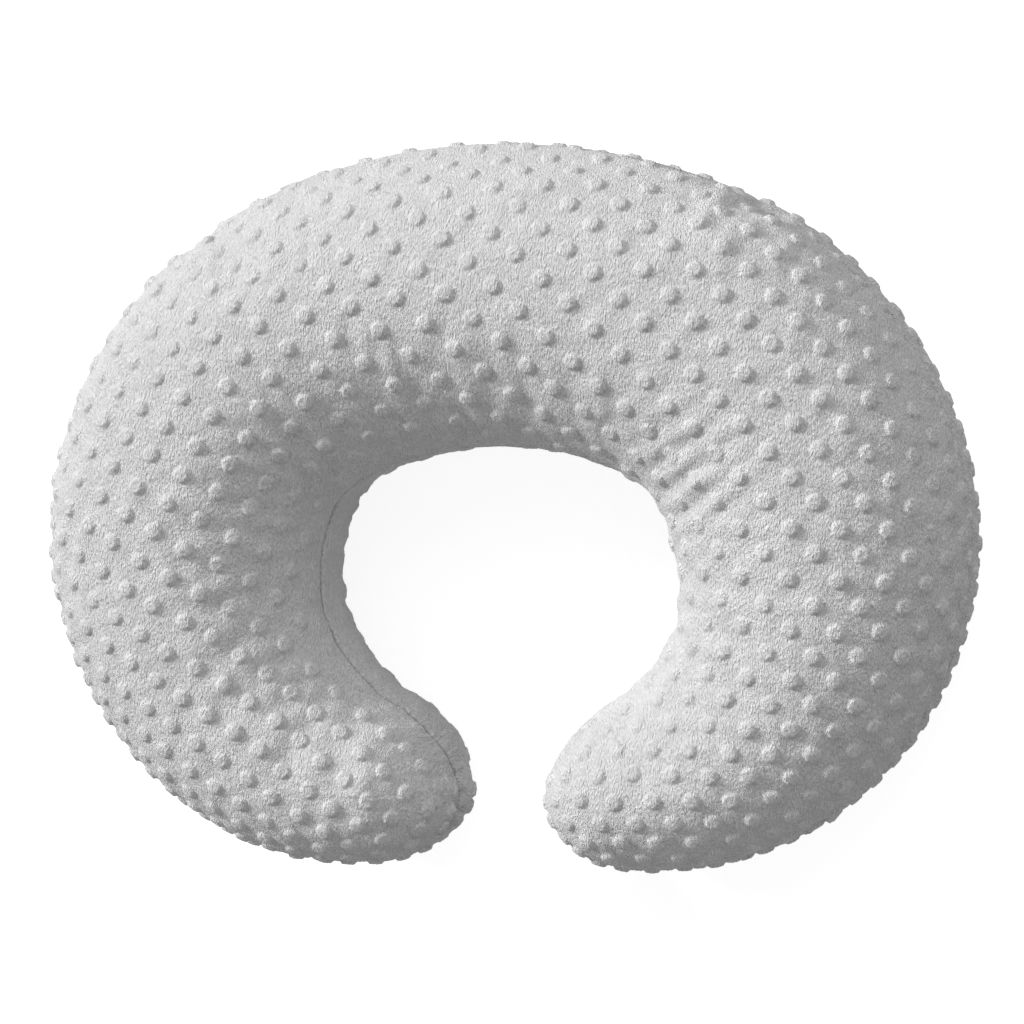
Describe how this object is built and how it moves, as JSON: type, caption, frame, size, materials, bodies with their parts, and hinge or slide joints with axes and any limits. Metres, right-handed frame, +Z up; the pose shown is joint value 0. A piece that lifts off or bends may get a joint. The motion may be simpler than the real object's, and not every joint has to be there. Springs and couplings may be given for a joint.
{
  "type": "nursing pillow",
  "caption": "C-shaped stuffed nursing pillow in a light grey raised-dot plush slipcover that zips off along the back seam.",
  "frame": {"origin": "on the floor, under the middle of the pillow's outer box", "axes": "+Z up from the floor, +Y towards the closed back of the C, -Y towards the opening between the arms, +X along the pillow's longest side"},
  "size_m": [0.556, 0.4164, 0.1451],
  "materials": {
    "plush": "raised-dot minky plush, light grey",
    "binding_thread": "overlocked polyester thread",
    "casing_cloth": "plain woven cotton",
    "fibre": "loose polyester fibre",
    "thread": "polyester thread",
    "zip_tape": "woven polyester tape",
    "zip_coil": "nylon coil",
    "zip_metal": "painted die-cast zinc",
    "label": "white woven satin, blank"
  },
  "bodies": {
    "pillow": {"cover_top_panel": "plush", "cover_bottom_panel": "plush", "cover_seam_binding": "binding_thread", "casing_top": "casing_cloth", "casing_bottom": "casing_cloth", "pillow_filling": "fibre", "casing_closing_stitches": "thread", "zipper_tape_upper": "zip_tape", "zipper_tape_lower": "zip_tape", "zipper_coil_upper": "zip_coil", "zipper_coil_lower": "zip_coil", "zipper_end_stop_upper": "zip_metal", "zipper_end_stop_lower": "zip_metal", "zipper_start_stop": "zip_metal", "care_label": "label", "law_label": "label"},
    "slider": {"zipper_slider": "zip_metal"},
    "pull_tab": {"zipper_pull_tab": "zip_metal"}
  },
  "joints": [
    {"name": "zipper_slider_travel", "type": "hinge", "parent": "pillow", "child": "slider", "pos_m": [0, -0.1478, 0.08], "axis": [0, 0, -1], "range_deg": [0, 40]},
    {"name": "pull_tab_swing", "type": "hinge", "parent": "slider", "child": "pull_tab", "pos_m": [-0.12203, 0.18748, 0.08], "axis": [0, 0, 1], "range_deg": [0, 170]}
  ]
}
